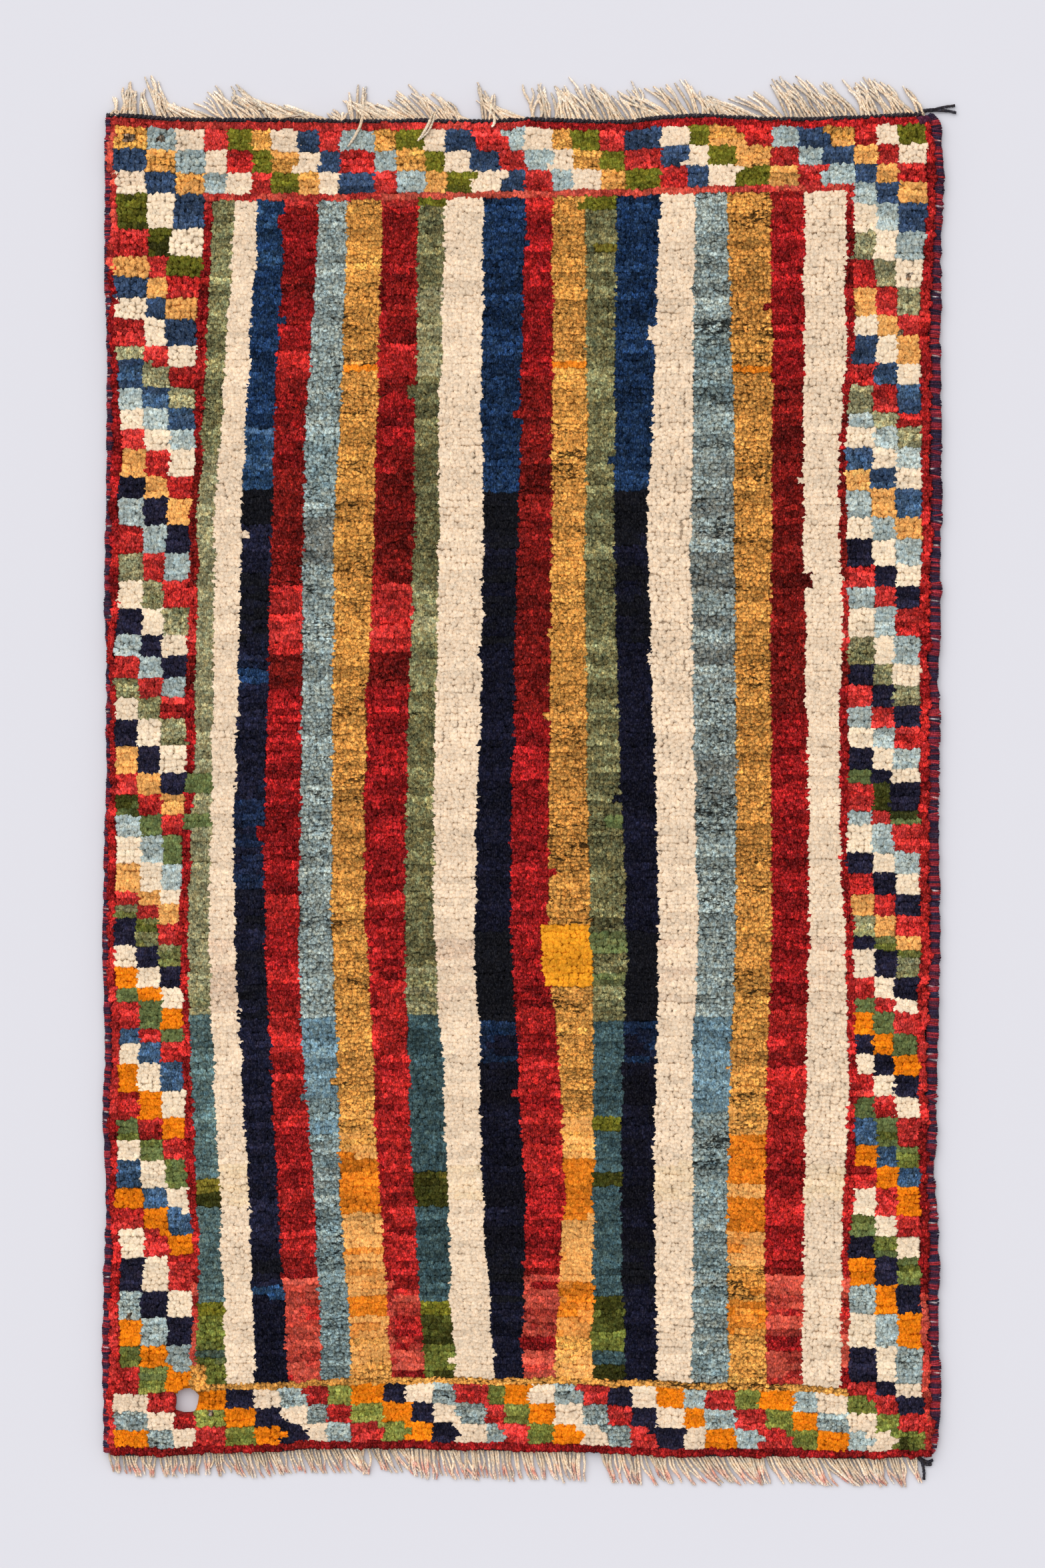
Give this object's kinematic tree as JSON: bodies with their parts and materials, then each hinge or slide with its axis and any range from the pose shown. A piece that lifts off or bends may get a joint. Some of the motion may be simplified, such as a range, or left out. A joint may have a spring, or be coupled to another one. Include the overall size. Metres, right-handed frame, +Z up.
{
  "type": "gabbeh rug",
  "caption": "Small hand-knotted gabbeh mat lying flat: thick wool pile, overcast selvedges, twined end cords, warp fringes and a worn hole.",
  "frame": {"origin": "centre of the whole outline, fringes and loose ends included, on the underside", "axes": "+X across the width to the picture's right, +Y up the length to the picture's top, +Z up out of the pile"},
  "size_m": [0.6168, 1.0204, 0.011],
  "materials": {
    "pile": "thick hand-knotted wool pile in many dyes",
    "selvedge_wool": "overcast dark navy wool with red turns",
    "cord_wool": "twined dark wool",
    "warp": "undyed twisted warp yarn"
  },
  "bodies": {
    "root": {"rug_body": "pile", "selvedge_left": "selvedge_wool", "selvedge_right": "selvedge_wool", "end_cord_top": "cord_wool", "end_cord_bottom": "cord_wool", "fringe_top": "warp", "fringe_bottom": "warp"}
  },
  "joints": []
}
